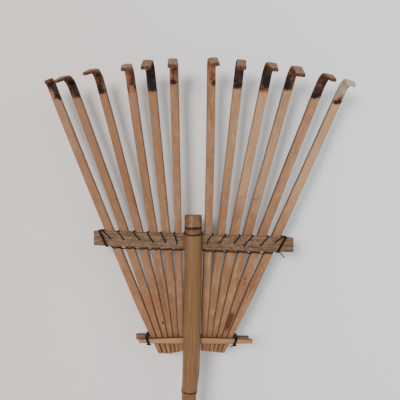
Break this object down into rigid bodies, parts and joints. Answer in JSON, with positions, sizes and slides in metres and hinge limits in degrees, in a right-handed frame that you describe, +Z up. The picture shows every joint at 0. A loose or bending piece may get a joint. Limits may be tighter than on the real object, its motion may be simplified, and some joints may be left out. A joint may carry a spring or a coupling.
{
  "type": "leaf rake",
  "caption": "Leaf rake with a fan of split bamboo tines bent at the tips, wired to slats on a bamboo handle.",
  "frame": {"origin": "centre of the handle's lower end face", "axes": "+Z up along the handle to the head, -Y the side the tips bend towards, +X to the right seen from that side"},
  "size_m": [0.4271, 0.0476, 1.4462],
  "materials": {
    "tine_bamboo": "dry split bamboo, satin, scorched at the bends",
    "handle_bamboo": "aged bamboo culm, satin skin",
    "slat_wood": "rough weathered wood, matt",
    "stick_bamboo": "whittled bamboo, satin",
    "red_stick": "reddish bark, matt",
    "iron_wire": "dark annealed iron wire"
  },
  "bodies": {
    "root": {"tine_01": "tine_bamboo", "tine_02": "tine_bamboo", "tine_03": "tine_bamboo", "tine_04": "tine_bamboo", "tine_05": "tine_bamboo", "tine_06": "tine_bamboo", "tine_07": "tine_bamboo", "tine_08": "tine_bamboo", "tine_09": "tine_bamboo", "tine_10": "tine_bamboo", "tine_11": "tine_bamboo", "tine_12": "tine_bamboo", "handle": "handle_bamboo", "front_slat": "slat_wood", "back_slat": "slat_wood", "front_stick": "stick_bamboo", "back_stick": "red_stick", "end_wrap_left": "iron_wire", "end_wrap_right": "iron_wire", "stick_tie_left": "iron_wire", "stick_tie_right": "iron_wire", "stitching_left": "iron_wire", "stitching_right": "iron_wire", "running_wire_left": "iron_wire", "running_wire_right": "iron_wire", "handle_band": "iron_wire"}
  },
  "joints": []
}
